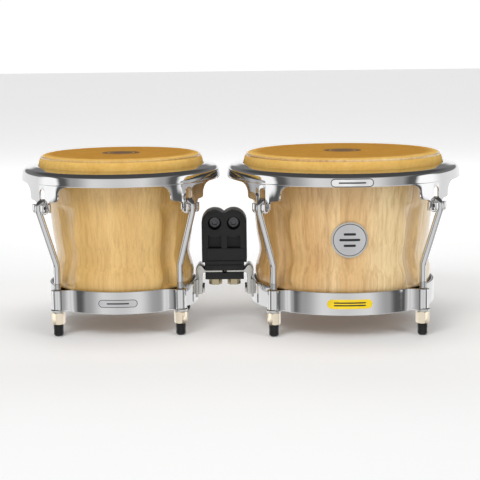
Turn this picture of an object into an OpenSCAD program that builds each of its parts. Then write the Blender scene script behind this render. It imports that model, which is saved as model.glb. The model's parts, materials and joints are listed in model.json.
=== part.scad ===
// Pair of bongo drums on a swivelling centre block.
// Origin: middle of the footprint, on the surface that the rubber feet stand on. X runs from the
// small drum to the large one, Z is up, and the player's side is +Y.

/* [Drums] */
// Outer radius of the small shell at its bearing edge (7 in head)
small_shell_r = 88.9; // [84:0.1:96]
// Outer radius of the large shell at its bearing edge (8.5 in head)
large_shell_r = 107.95; // [102:0.05:114]
// Gap between the two rims
rim_gap = 7; // [5:0.5:12]
// Wall of the wooden shells
wall = 12; // [10:0.5:15]

/* [Heights] */
// Length of the rubber feet
foot_h = 13.2; // [10:0.2:16]
// Height of the tuning nuts
nut_h = 13; // [10:0.2:16]
// Thickness of the washers above the nuts
washer_t = 2.6; // [1.6:0.2:3]
// Height of the bottom hoops
hoop_h = 24.4; // [20:0.2:28]
// Height of the bearing edge above the floor
edge_z = 191; // [186:0.5:196]

/* [Rims and rods] */
// How far a rim reaches past its shell
rim_reach = 21.2; // [19:0.2:24]
// Sheet thickness of the rims
rim_t = 2.4; // [2:0.1:3]
// Radius of the rod blank
rod_r = 3.6; // [3.2:0.1:3.8]
// Lean of the rods' middle stretch
rod_lean = 19.5; // [18:0.5:22]
// Radius over the rolled M8 thread
thread_r = 3.95; // [3.9:0.01:3.98]
// Width across the flats of the tuning nuts
nut_flats = 13; // [12:0.5:14]

/* [Centre block] */
// Width of the centre block
block_w = 50; // [46:0.5:54]
// Depth of the centre block with its back plate
block_d = 30; // [26:0.5:34]
// Half the distance between the two swivel bolts
bolt_x = 10.4; // [9.5:0.1:11]
// Thickness of the mounting arms
arm_t = 4.8; // [4:0.2:5.4]

/* [Hidden] */
$fn = 96;

// Heights of the stack under an ear
nut_z = foot_h;
washer_z = nut_z + nut_h;
ear_z = washer_z + washer_t;
hoop_z = washer_z;
hoop_top = hoop_z + hoop_h;
shell_z = hoop_z + 4.8;

// Plan of a drum: the lug circle, the bottom hoop and the rim
lug_in = 4.7;
hoop_t = 2.8;
liner_t = 3;
hoop_in = 10.7;
ear_nose = 7;
rod_hole = 4.4;
running_gap = 0.05;

// The skin, the flesh hoop and the rim
skin_t = 1.6;
skin_flare = 1.6;
rim_top = edge_z - 10.2;
flesh_h = 7;
flesh_z = rim_top - 5 - flesh_h;
flesh_t = 3.4;
slide_gap = 0.4;
skirt_z = edge_z - 26;

// The hooked end of a rod and the tab that holds it
hook_r = 6.15;
hook_z = edge_z - 50;
slot_w = 8.8;
web_z = hook_z + hook_r - rod_r - 0.45;
tip_l = 5.5;
bend_r = 16;
thread_top = 59;
rod_end = 4;

// The centre block
block_z = 61;
block_top = 128.4;
lobe_x = 10.5;
lobe_r = block_w / 2 - lobe_x;
lobe_z = block_top - lobe_r;
plate_t = 3;
clamp_z = 50.8;
clamp_h = 7.2;
tongue_z = clamp_z + clamp_h + 0.1;
tongue_t = block_z - tongue_z - 0.1;
arm_w = 26;
head_h = 7.8;

// Places of the three assemblies along X
small_rim_r = small_shell_r + rim_reach;
large_rim_r = large_shell_r + rim_reach;
width = 2 * small_rim_r + rim_gap + 2 * large_rim_r;
macho_x = small_rim_r - width / 2;
hembra_x = width / 2 - large_rim_r;
small_hoop_r = small_shell_r + lug_in - hoop_in;
large_hoop_r = large_shell_r + lug_in - hoop_in;
block_x = (macho_x + small_hoop_r + hembra_x - large_hoop_r) / 2;

// Moves its children to lug number i of a drum, with X pointing outwards
module at_lug(i, r) {
    rotate([0, 0, 45 + 90 * i]) translate([r, 0, 0]) children();
}

// Outer radius of a shell from its foot (u = 0) to its bearing edge (u = 1), with a belly and a waist
function shell_outer(r, u) = r - 11.9 * (1 - pow(u, 1.5)) - 3 * sin(180 * u)
    + 3.4 * exp(-pow((u - 0.2) / 0.1, 2)) - 3 * exp(-pow((u - 0.31) / 0.1, 2));

module shell(r) {
    h = edge_z - shell_z;
    low_r = r + lug_in - hoop_in - hoop_t - liner_t;
    steps = 18;
    lip_u = (hoop_top - shell_z) / h;
    outer = [for (i = [0 : steps]) let (u = lip_u + (1 - lip_u) * i / steps)
        [min(r, shell_outer(r, u)), shell_z + u * h]];
    inner = [for (i = [steps : -1 : 0]) [min(r, shell_outer(r, lip_u + (1 - lip_u) * i / steps)) - wall,
        shell_z + (lip_u + (1 - lip_u) * i / steps) * h]];
    color("burlywood") difference() {
        rotate_extrude() polygon(concat([[low_r - wall, shell_z], [low_r, shell_z], [low_r, hoop_top - 1]],
            outer, inner));
        for (i = [0 : 3]) flute(r, i);
    }
}

// A shallow scoop down the outside of the shell behind one rod
module flute(r, i) {
    scoop_r = 30;
    sweep_r = 150;
    depth = 5;
    mid_z = shell_z + 76;
    at_lug(i, r - 11 - depth + scoop_r + sweep_r) translate([0, 0, mid_z]) rotate([90, 0, 0])
        rotate_extrude() translate([sweep_r, 0]) circle(scoop_r);
}

module skin(r) {
    low = flesh_z + 1;
    top = edge_z + skin_t;
    round_r = 5;
    color("peru") rotate_extrude() difference() {
        union() {
            square([r + skin_t - round_r, top]);
            translate([0, low]) square([r + skin_t, top - low - round_r]);
            translate([r + skin_t - round_r, top - round_r]) circle(round_r);
        }
        square([r + 0.2, edge_z]);
    }
}

module flesh_hoop(r) {
    color("silver") rotate_extrude() translate([r + skin_t + slide_gap, flesh_z]) square([flesh_t, flesh_h]);
}

// Cross-section of a rim: a sloping top, a round shoulder and a flared skirt
module rim_section(r) {
    rim_r = r + rim_reach;
    in_r = r + skin_t + slide_gap + 0.6;
    polygon([
        [in_r, rim_top - 5], [in_r, rim_top - 1], [in_r + 1.2, rim_top], [in_r + 5, rim_top - 0.6],
        [rim_r - 5, rim_top - 3], [rim_r - 2, rim_top - 5.2], [rim_r - 0.8, rim_top - 8],
        [rim_r, skirt_z + 2], [rim_r, skirt_z], [rim_r - rim_t, skirt_z], [rim_r - rim_t, skirt_z + 2],
        [rim_r - 3.3, rim_top - 8.2], [rim_r - 6.2, rim_top - 5.4], [in_r + 5, rim_top - 3.2],
        [in_r + 2, rim_top - 3], [in_r + 2, rim_top - 5]
    ]);
}

// Outline of a tab: a plate with filleted shoulders and a narrower tongue, standing on the origin
module tab_outline() {
    tab_w = 46;
    shoulder_z = hook_z + 7.8;
    difference() {
        union() {
            translate([-tab_w / 2, shoulder_z]) square([tab_w, skirt_z + 1 - shoulder_z]);
            translate([-tab_w / 2 - 12, skirt_z - 11]) square([tab_w + 24, 12]);
            translate([-10, hook_z - 2]) square([20, 12]);
        }
        for (side = [-1, 1]) translate([side * (tab_w / 2 + 12.5), skirt_z - 12]) circle(12);
        translate([-slot_w / 2, web_z]) square([slot_w, skirt_z - 8 - web_z]);
        translate([0, skirt_z - 8]) circle(slot_w / 2);
    }
}

// Section of the lip curled up from the foot of a tab, from the tab's inner face outwards
module lip_outline() {
    lip_r = 4.2;
    steps = 10;
    polygon(concat([for (i = [0 : steps]) lip_r * [1 - cos(180 * i / steps), -sin(180 * i / steps)]],
        [[2 * lip_r, 6.4], [2 * lip_r - rim_t, 6.4]],
        [for (i = [steps : -1 : 0]) [lip_r, 0] - (lip_r - rim_t) * [cos(180 * i / steps), sin(180 * i / steps)]],
        [[rim_t - 0.2, 1], [0.2, 1]]));
}

module rim(r) {
    rim_r = r + rim_reach;
    tab_inset = 0.15;
    color("gainsboro") {
        rotate_extrude() rim_section(r);
        for (i = [0 : 3]) rotate([0, 0, 45 + 90 * i]) {
            intersection() {
                translate([0, 0, hook_z - 2]) difference() {
                    cylinder(r = rim_r - tab_inset, h = skirt_z - hook_z + 3);
                    translate([0, 0, -1]) cylinder(r = rim_r - rim_t + tab_inset, h = 60);
                }
                rotate([90, 0, 90]) linear_extrude(rim_r + 1) tab_outline();
            }
            for (side = [-1, 1]) translate([rim_r - rim_t + 0.6, side * (slot_w / 2 + 2.5) + 2.3, hook_z - 1.8])
                rotate([90, 0, 0]) linear_extrude(4.6) lip_outline();
        }
    }
}

// A rod lies in the plane of its lug: straight thread, slanting shank and a hooked top
module rod(r, i) {
    lug_r = r + lug_in;
    top_r = r + rim_reach - rim_t / 2 + hook_r;
    bend_side = bend_r * (1 - cos(rod_lean));
    bend_rise = bend_r * sin(rod_lean);
    shank_run = top_r - lug_r - 2 * bend_side;
    shank_l = shank_run / sin(rod_lean);
    low_z = hook_z - 2 * bend_rise - shank_run / tan(rod_lean);
    color("silver") at_lug(i, 0) {
        translate([lug_r, 0, rod_end]) cylinder(r = thread_r, h = thread_top - rod_end);
        translate([lug_r, 0, thread_top - 1]) cylinder(r = rod_r, h = low_z - thread_top + 1);
        translate([lug_r + bend_r, 0, low_z]) rod_bend(bend_r, 180 - rod_lean, rod_lean);
        translate([lug_r + bend_side, 0, low_z + bend_rise]) rotate([0, rod_lean, 0])
            cylinder(r = rod_r, h = shank_l);
        translate([top_r - bend_r, 0, hook_z]) rod_bend(bend_r, -rod_lean, rod_lean);
        translate([top_r - hook_r, 0, hook_z]) rod_bend(hook_r, 0, 180);
        translate([top_r - 2 * hook_r, 0, hook_z - tip_l]) cylinder(r = rod_r, h = tip_l);
        for (joint = [[lug_r, low_z], [lug_r + bend_side, low_z + bend_rise],
            [top_r - bend_side, hook_z - bend_rise], [top_r, hook_z], [top_r - 2 * hook_r, hook_z]])
            translate([joint[0], 0, joint[1]]) sphere(rod_r + 0.05);
    }
}

// An arc of rod in the plane of its lug, about the origin
module rod_bend(bend, from, turn) {
    rotate([90, 0, 0]) rotate([0, 0, from]) rotate_extrude(angle = turn) translate([bend, 0]) circle(rod_r);
}

module nut(r, i) {
    color("wheat") at_lug(i, r + lug_in) translate([0, 0, nut_z]) difference() {
        intersection() {
            cylinder(r = nut_flats / sqrt(3), h = nut_h, $fn = 6);
            cylinder(r1 = nut_flats / 2 + 0.2, r2 = nut_flats / 2 + 0.2 + nut_h, h = nut_h);
        }
        translate([0, 0, -1]) cylinder(r = thread_r + running_gap, h = nut_h + 2);
    }
}

module washers(r) {
    color("silver") for (i = [0 : 3]) at_lug(i, r + lug_in) translate([0, 0, washer_z]) difference() {
        cylinder(r = 7.6, h = washer_t);
        translate([0, 0, -1]) cylinder(r = rod_hole, h = washer_t + 2);
    }
}

module feet(r) {
    foot_r = 5.3;
    round_r = 3;
    color("black") for (i = [0 : 3]) at_lug(i, r + lug_in) rotate_extrude() difference() {
        union() {
            square([foot_r - round_r, foot_h - 0.3]);
            translate([0, round_r]) square([foot_r, foot_h - 0.3 - round_r]);
            translate([foot_r - round_r, round_r]) circle(round_r);
        }
        translate([0, rod_end]) square([thread_r, foot_h]);
        translate([-10, -1]) square([10, foot_h + 2]);
    }
}

// Plan of an ear, its wall pushed out or in by grow
module ear_outline(r, grow) {
    lug_r = r + lug_in;
    base_r = lug_r - hoop_in;
    polygon([[base_r - 3, -12 - grow], [base_r, -10.6 - grow], [lug_r, -ear_nose - grow],
        [lug_r, ear_nose + grow], [base_r, 10.6 + grow], [base_r - 3, 12 + grow]]);
    translate([lug_r, 0]) circle(ear_nose + grow);
}

module bottom_hoop(r) {
    hoop_r = r + lug_in - hoop_in;
    in_r = hoop_r - hoop_t;
    color("gainsboro") {
        difference() {
            union() {
                translate([0, 0, hoop_z]) cylinder(r = hoop_r, h = hoop_h);
                for (i = [0 : 3]) at_lug(i, 0) {
                    translate([0, 0, ear_z]) linear_extrude(hoop_top - ear_z) ear_outline(r, 0);
                    translate([0, 0, ear_z]) linear_extrude(2.4) ear_outline(r, 1.4);
                }
            }
            translate([0, 0, hoop_z + 2.4]) cylinder(r = in_r, h = hoop_h);
            translate([0, 0, hoop_z - 1]) cylinder(r = in_r - 9, h = hoop_h);
            for (i = [0 : 3]) at_lug(i, 0) {
                translate([0, 0, ear_z + 2.4]) linear_extrude(hoop_h) ear_outline(r, rod_hole - ear_nose);
                translate([r + lug_in, 0, ear_z - 1]) cylinder(r = rod_hole, h = 6);
            }
        }
    }
}

module hoop_liner(r) {
    in_r = r + lug_in - hoop_in - hoop_t;
    color("dimgray") rotate_extrude() {
        translate([in_r - liner_t + 0.05, shell_z]) square([liner_t - 0.1, hoop_top - shell_z - 1.2]);
        translate([in_r - 8.6, hoop_z + 2.4]) square([8.55, shell_z - hoop_z - 2.4]);
    }
}

// Side view of an arm from the hoop (X = 0) to the swivel bolt (X = reach)
module arm(r, side) {
    hoop_r = r + lug_in - hoop_in;
    drum_x = side < 0 ? macho_x : hembra_x;
    hoop_face = drum_x - side * hoop_r;
    reach = abs(block_x + side * bolt_x - hoop_face);
    plate_x = 0.9;
    low_z = 33.5;
    peak_z = 66.8;
    color("silver") translate([hoop_face, 0, 0]) scale([-side, 1, 1]) difference() {
        rotate([90, 0, 0]) translate([0, 0, -arm_w / 2]) linear_extrude(arm_w) polygon([
            [plate_x, low_z], [plate_x + arm_t, low_z], [plate_x + arm_t, tongue_z - 2],
            [plate_x + arm_t + 0.4, tongue_z - 0.9], [plate_x + arm_t + 1.4, tongue_z],
            [reach + bolt_x - 0.4, tongue_z], [reach + bolt_x - 0.4, tongue_z + tongue_t],
            [6.2, tongue_z + tongue_t], [5, peak_z - 1.8], [3.4, peak_z], [plate_x, peak_z],
            [plate_x - 2.6, peak_z - 1.6], [plate_x - 2.6, hoop_top + 8], [plate_x, hoop_top + 3]
        ]);
        translate([reach, 0, tongue_z - 1]) cylinder(r = 4 + running_gap, h = tongue_t + 2);
        for (end = [-1, 1]) translate([reach + bolt_x - 0.4, 0, tongue_z - 1]) rotate([0, 0, end * 8])
            translate([0, -arm_w, 0]) cube([10, 2 * arm_w, tongue_t + 2]);
        for (y = [-7, 7]) translate([-5, y, 38.5]) rotate([0, 90, 0]) cylinder(r = 2.6, h = 20);
    }
}

// Curved steel pad between the hoop and the arm
module arm_pad(r, side) {
    hoop_r = r + lug_in - hoop_in;
    drum_x = side < 0 ? macho_x : hembra_x;
    color("gray") translate([drum_x, 0, 0]) scale([-side, 1, 1]) difference() {
        translate([hoop_r - 3, -arm_w / 2 + 1, 30]) cube([3.9, arm_w - 2, 20]);
        cylinder(r = hoop_r, h = 60, $fn = 720);
        for (y = [-7, 7]) translate([hoop_r - 5, y, 38.5]) rotate([0, 90, 0]) cylinder(r = 2.6, h = 20);
    }
}

module arm_screws(r, side) {
    hoop_r = r + lug_in - hoop_in;
    drum_x = side < 0 ? macho_x : hembra_x;
    color("silver") translate([drum_x, 0, 0]) scale([-side, 1, 1]) for (y = [-7, 7]) translate([hoop_r, y, 38.5])
        rotate([0, 90, 0]) {
            cylinder(r = 2.5, h = 6);
            translate([0, 0, 0.9 + arm_t]) cylinder(r = 4.6, h = 2.4);
        }
}

// Front outline of the centre block: two round lobes over a square body
module block_outline(grow) {
    for (side = [-1, 1]) translate([side * lobe_x, lobe_z]) circle(lobe_r + grow);
    translate([-block_w / 2 - grow, block_z + 9]) square([block_w + 2 * grow, lobe_z - block_z - 9]);
    translate([-block_w / 2 + 3, block_z]) square([block_w - 6, 12]);
}

module block_front() {
    front_y = -block_d / 2;
    depth = block_d - plate_t;
    pocket_w = 14.6;
    color("black") translate([block_x, 0, 0]) difference() {
        translate([0, front_y + depth, 0]) rotate([90, 0, 0]) linear_extrude(depth) block_outline(0);
        for (side = [-1, 1]) translate([side * lobe_x, 0, 0]) {
            translate([0, front_y - 1, lobe_z]) rotate([-90, 0, 0]) cylinder(r = 7.3, h = 15);
            translate([0, front_y - 1, lobe_z]) rotate([-90, 0, 0]) cylinder(r = 3.3, h = depth + 2);
            difference() {
                translate([-pocket_w / 2, front_y - 1, 86]) cube([pocket_w, 11, 16]);
                translate([0, front_y - 2, lobe_z]) rotate([-90, 0, 0]) cylinder(r = 15.4, h = 14);
            }
        }
        translate([-19.6, front_y - 1, 72]) cube([42, 2.2, 13]);
        for (side = [-1, 1]) translate([side * bolt_x, 0, block_z - 1]) {
            cylinder(r = 4.2, h = 26);
            translate([-7.4, -7.4, 15]) cube([14.8, block_d, 7]);
        }
    }
}

module block_back_plate() {
    color("silver") translate([block_x, 0, 0]) difference() {
        translate([0, block_d / 2, 0]) rotate([90, 0, 0]) linear_extrude(plate_t) block_outline(0.4);
        for (side = [-1, 1]) translate([side * lobe_x, 0, lobe_z]) rotate([-90, 0, 0]) cylinder(r = 3.1, h = 40);
    }
}

module block_screws() {
    shank_y = -block_d / 2 + 14;
    color("dimgray") for (side = [-1, 1]) translate([block_x + side * lobe_x, 0, lobe_z]) rotate([-90, 0, 0]) {
        translate([0, 0, shank_y - 6]) difference() {
            cylinder(r = 6, h = 6);
            translate([0, 0, -1]) cylinder(r = 3.4, h = 4.5, $fn = 6);
        }
        translate([0, 0, shank_y - 1]) cylinder(r = 3, h = block_d / 2 + 3.5 - shank_y);
        translate([0, 0, block_d / 2]) cylinder(r = 5.2, h = 3, $fn = 6);
    }
}

module clamp_plate() {
    color("black") translate([block_x, 0, 0]) difference() {
        translate([-block_w / 2 + 3.5, -block_d / 2, clamp_z]) cube([block_w - 7, block_d, clamp_h]);
        for (side = [-1, 1]) translate([side * bolt_x, 0, clamp_z - 1]) cylinder(r = 4.2, h = clamp_h + 2);
    }
}

module swivel_bolt(side) {
    color("wheat") translate([block_x + side * bolt_x, 0, 0]) {
        translate([0, 0, clamp_z - head_h]) cylinder(r = nut_flats / sqrt(3), h = head_h, $fn = 6);
        translate([0, 0, clamp_z - 1]) cylinder(r = 4, h = 34);
    }
}

module swivel_nuts() {
    color("silver") for (side = [-1, 1]) translate([block_x + side * bolt_x, 0, block_z + 14.4]) difference() {
        cylinder(r = 7.2, h = 6, $fn = 6);
        translate([0, 0, -1]) cylinder(r = 4, h = 8);
    }
}

// Curved metal badge, leaning with the shell's flare
module badge(r) {
    badge_z = 106.5;
    badge_r = 19.3;
    badge_t = 1.4;
    lean = 7;
    face_r = shell_outer(r, (badge_z - shell_z) / (edge_z - shell_z));
    color("gainsboro") translate([hembra_x, -0.9, badge_z + face_r * sin(lean)]) rotate([lean, 0, 0]) intersection() {
        translate([0, 4 - face_r, 0]) rotate([90, 0, 0]) cylinder(r = badge_r, h = 8);
        translate([0, 0, -30]) difference() {
            cylinder(r = face_r + badge_t, h = 60);
            translate([0, 0, -1]) cylinder(r = face_r, h = 62);
        }
    }
}

module macho(part, i) {
    translate([macho_x, 0, 0]) drum_part(part, small_shell_r, i);
}

module hembra(part, i) {
    translate([hembra_x, 0, 0]) drum_part(part, large_shell_r, i);
}

module drum_part(part, r, i) {
    if (part == "shell") shell(r);
    if (part == "skin") skin(r);
    if (part == "flesh_hoop") flesh_hoop(r);
    if (part == "rim") rim(r);
    if (part == "bottom_hoop") bottom_hoop(r);
    if (part == "hoop_liner") hoop_liner(r);
    if (part == "washers") washers(r);
    if (part == "feet") feet(r);
    if (part == "rod") rod(r, i);
    if (part == "nut") nut(r, i);
}

macho("shell");  // macho_shell
macho("skin");  // macho_skin
macho("flesh_hoop");  // macho_flesh_hoop
macho("rim");  // macho_rim
macho("bottom_hoop");  // macho_bottom_hoop
macho("hoop_liner");  // macho_hoop_liner
macho("washers");  // macho_washers
macho("feet");  // macho_feet
macho("rod", 0);  // macho_rod_1
macho("rod", 1);  // macho_rod_2
macho("rod", 2);  // macho_rod_3
macho("rod", 3);  // macho_rod_4
macho("nut", 0);  // macho_nut_1
macho("nut", 1);  // macho_nut_2
macho("nut", 2);  // macho_nut_3
macho("nut", 3);  // macho_nut_4
arm(small_shell_r, -1);  // macho_arm
arm_pad(small_shell_r, -1);  // macho_arm_pad
arm_screws(small_shell_r, -1);  // macho_arm_screws
hembra("shell");  // hembra_shell
hembra("skin");  // hembra_skin
hembra("flesh_hoop");  // hembra_flesh_hoop
hembra("rim");  // hembra_rim
hembra("bottom_hoop");  // hembra_bottom_hoop
hembra("hoop_liner");  // hembra_hoop_liner
hembra("washers");  // hembra_washers
hembra("feet");  // hembra_feet
hembra("rod", 0);  // hembra_rod_1
hembra("rod", 1);  // hembra_rod_2
hembra("rod", 2);  // hembra_rod_3
hembra("rod", 3);  // hembra_rod_4
hembra("nut", 0);  // hembra_nut_1
hembra("nut", 1);  // hembra_nut_2
hembra("nut", 2);  // hembra_nut_3
hembra("nut", 3);  // hembra_nut_4
arm(large_shell_r, 1);  // hembra_arm
arm_pad(large_shell_r, 1);  // hembra_arm_pad
arm_screws(large_shell_r, 1);  // hembra_arm_screws
badge(large_shell_r);  // hembra_badge
block_front();
block_back_plate();
block_screws();
clamp_plate();
swivel_bolt(-1);  // macho_swivel_bolt
swivel_bolt(1);  // hembra_swivel_bolt
swivel_nuts();
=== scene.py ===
import bpy, json, math
from mathutils import Matrix, Vector


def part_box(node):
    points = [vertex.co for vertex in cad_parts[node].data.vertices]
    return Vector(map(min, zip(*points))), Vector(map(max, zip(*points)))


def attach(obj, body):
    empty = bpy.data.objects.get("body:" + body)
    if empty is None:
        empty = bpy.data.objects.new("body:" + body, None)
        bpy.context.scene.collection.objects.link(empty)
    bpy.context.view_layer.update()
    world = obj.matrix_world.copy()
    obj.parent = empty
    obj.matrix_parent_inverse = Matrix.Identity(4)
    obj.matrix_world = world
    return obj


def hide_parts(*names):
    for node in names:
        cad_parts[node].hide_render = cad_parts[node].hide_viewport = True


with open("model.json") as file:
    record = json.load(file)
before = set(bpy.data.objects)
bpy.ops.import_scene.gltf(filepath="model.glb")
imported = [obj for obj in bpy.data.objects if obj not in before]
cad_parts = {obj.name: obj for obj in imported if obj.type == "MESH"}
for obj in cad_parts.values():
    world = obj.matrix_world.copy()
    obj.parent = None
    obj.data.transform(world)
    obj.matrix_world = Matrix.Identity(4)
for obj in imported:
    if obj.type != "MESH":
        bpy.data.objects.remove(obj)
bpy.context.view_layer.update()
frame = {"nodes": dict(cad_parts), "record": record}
mm = 0.001
washerR = 7.6 * mm

# where things are, read from the frame
drums = {}
for drum in ("macho", "hembra"):
    low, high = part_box(drum + "_skin")
    rimLow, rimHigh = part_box(drum + "_rim")
    washLow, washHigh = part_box(drum + "_washers")
    center = (low + high) / 2
    drums[drum] = {
        "x": center.x, "y": center.y, "skinR": (high.x - low.x) / 2, "skinTop": high.z,
        "rimR": (rimHigh.x - rimLow.x) / 2, "rimTop": rimHigh.z,
        "lugR": math.hypot((washHigh.x - washLow.x) / 2 - washerR, (washHigh.y - washLow.y) / 2 - washerR),
    }
blockLow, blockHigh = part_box("block_front")
blockX = (blockLow.x + blockHigh.x) / 2
print("frame read", drums)

# small helpers
def deselectAll():
    if bpy.context.object and bpy.context.object.mode != "OBJECT":
        bpy.ops.object.mode_set(mode="OBJECT")
    bpy.ops.object.select_all(action="DESELECT")

def pick(piece):
    deselectAll()
    piece.select_set(True)
    bpy.context.view_layer.objects.active = piece

def applyModifiers(piece):
    pick(piece)
    for modifier in list(piece.modifiers):
        bpy.ops.object.modifier_apply(modifier=modifier.name)

def settle(piece, angle=35):
    pick(piece)
    bpy.ops.object.transform_apply(location=True, rotation=True, scale=True)
    bpy.ops.object.shade_smooth_by_angle(angle=math.radians(angle))

def chain(name, points):
    # an edge chain drawn by extruding one vertex from point to point
    deselectAll()
    bpy.ops.mesh.primitive_plane_add(size=0.001, location=(0, 0, 0))
    piece = bpy.context.object
    piece.name = name
    bpy.ops.object.mode_set(mode="EDIT")
    bpy.ops.mesh.select_all(action="SELECT")
    bpy.ops.mesh.merge(type="CENTER")
    bpy.ops.transform.translate(value=points[0])
    for before, after in zip(points, points[1:]):
        bpy.ops.mesh.extrude_region_move(TRANSFORM_OT_translate={"value": Vector(after) - Vector(before)})
    return piece

def turned(name, points, center, steps=160, closed=False):
    # a profile of (radius, height) spun round the drum's axis
    piece = chain(name, [(center[0] + r, center[1], z) for r, z in points])
    bpy.ops.mesh.select_all(action="SELECT")
    if closed:
        bpy.ops.mesh.edge_face_add()
        bpy.ops.mesh.delete(type="ONLY_FACE")
        bpy.ops.mesh.select_all(action="SELECT")
    bpy.ops.mesh.spin(steps=steps, angle=2 * math.pi, center=(center[0], center[1], 0), axis=(0, 0, 1))
    bpy.ops.mesh.select_all(action="SELECT")
    bpy.ops.mesh.remove_doubles(threshold=0.00001)
    bpy.ops.mesh.normals_make_consistent(inside=False)
    bpy.ops.object.mode_set(mode="OBJECT")
    return piece

def pushed(name, points, move):
    # a closed outline filled and pushed out into a solid
    piece = chain(name, points)
    bpy.ops.mesh.select_all(action="SELECT")
    bpy.ops.mesh.edge_face_add()
    bpy.ops.mesh.extrude_region_move(TRANSFORM_OT_translate={"value": move})
    bpy.ops.mesh.select_all(action="SELECT")
    bpy.ops.mesh.normals_make_consistent(inside=False)
    bpy.ops.object.mode_set(mode="OBJECT")
    return piece

def tubeWall(name, outer, inner, low, high, start, sweep, steps):
    # a stretch of tube round the origin, swept from the start angle
    wall = chain(name, [(outer, 0, low), (outer, 0, high), (inner, 0, high), (inner, 0, low)])
    bpy.ops.mesh.select_all(action="SELECT")
    bpy.ops.mesh.edge_face_add()
    bpy.ops.transform.rotate(value=start, orient_axis="Z", center_override=(0, 0, 0))
    bpy.ops.mesh.spin(steps=steps, angle=sweep, center=(0, 0, 0), axis=(0, 0, 1))
    bpy.ops.mesh.select_all(action="SELECT")
    bpy.ops.mesh.normals_make_consistent(inside=False)
    bpy.ops.object.mode_set(mode="OBJECT")
    return wall

def arc(cx, cz, radius, start, stop, count):
    # points on an arc, angles in degrees from +r towards +z
    angles = [math.radians(start + (stop - start) * i / count) for i in range(count + 1)]
    return [(cx + radius * math.cos(a), cz + radius * math.sin(a)) for a in angles]

def lugAngle(index):
    # the four lugs stand on the diagonals
    return math.radians(45 + 90 * index)

def lugPlace(place, index):
    middle = lugAngle(index)
    return place["x"] + place["lugR"] * math.cos(middle), place["y"] + place["lugR"] * math.sin(middle)

# materials
def newMaterial(name):
    material = bpy.data.materials.new(name)
    material.use_nodes = True
    tree = material.node_tree
    return material, tree, tree.nodes["Principled BSDF"]

def node(tree, kind, **values):
    made = tree.nodes.new(kind)
    for key, value in values.items():
        if hasattr(made, key):
            setattr(made, key, value)
        else:
            made.inputs[key.replace("_", " ")].default_value = value
    return made

def objectCoords(tree, scale=(1, 1, 1), location=(0, 0, 0)):
    coords = node(tree, "ShaderNodeTexCoord")
    mapping = node(tree, "ShaderNodeMapping")
    mapping.inputs["Location"].default_value = location
    mapping.inputs["Scale"].default_value = scale
    tree.links.new(coords.outputs["Object"], mapping.inputs["Vector"])
    return mapping.outputs["Vector"]

def noise(tree, vector, scale, detail=4, rough=0.55, distortion=0.0):
    made = node(tree, "ShaderNodeTexNoise")
    made.inputs["Scale"].default_value = scale
    made.inputs["Detail"].default_value = detail
    made.inputs["Roughness"].default_value = rough
    made.inputs["Distortion"].default_value = distortion
    tree.links.new(vector, made.inputs["Vector"])
    return made.outputs["Fac"]

def ramp(tree, value, stops, interpolation="LINEAR"):
    made = node(tree, "ShaderNodeValToRGB")
    made.color_ramp.interpolation = interpolation
    elements = made.color_ramp.elements
    while len(elements) < len(stops):
        elements.new(0.5)
    for element, (place, colour) in zip(elements, stops):
        element.position = place
        element.color = (*colour, 1) if len(colour) == 3 else colour
    tree.links.new(value, made.inputs["Fac"])
    return made.outputs["Color"]

def mix(tree, factor, first, second, blend="MIX"):
    made = node(tree, "ShaderNodeMix", data_type="RGBA", blend_type=blend)
    for socket, value in ((made.inputs[0], factor), (made.inputs[6], first), (made.inputs[7], second)):
        if isinstance(value, bpy.types.NodeSocket):
            tree.links.new(value, socket)
        else:
            socket.default_value = value if isinstance(value, (int, float)) else (*value, 1)
    return made.outputs[2]

def stain(tree, colour, share, value, stops):
    # darkens a colour by a ramp, only as far as the share says
    return mix(tree, share, colour, ramp(tree, value, stops), "MULTIPLY")

def math2(tree, operation, first, second=0.0):
    made = node(tree, "ShaderNodeMath", operation=operation)
    for socket, value in ((made.inputs[0], first), (made.inputs[1], second)):
        if isinstance(value, bpy.types.NodeSocket):
            tree.links.new(value, socket)
        else:
            socket.default_value = value
    return made.outputs[0]

def addBump(tree, shader, height, strength, distance):
    bump = node(tree, "ShaderNodeBump")
    bump.inputs["Strength"].default_value = strength
    bump.inputs["Distance"].default_value = distance
    tree.links.new(height, bump.inputs["Height"])
    tree.links.new(bump.outputs["Normal"], shader.inputs["Normal"])

woodLooks = {
    "macho": {"pale": (0.86, 0.58, 0.215), "honey": (0.76, 0.475, 0.15), "streak": (0.54, 0.30, 0.085),
              "brown": (0.80, 0.66, 0.45), "staves": 13, "grain": 340, "streakShare": 0.2, "grainShare": 0.42,
              "brownShare": 0.12},
    "hembra": {"pale": (0.96, 0.75, 0.42), "honey": (0.84, 0.58, 0.27), "streak": (0.56, 0.32, 0.11),
               "brown": (0.78, 0.60, 0.38), "staves": 15, "grain": 240, "streakShare": 0.6,
               "grainShare": 0.62, "brownShare": 0.8},
}

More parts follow.
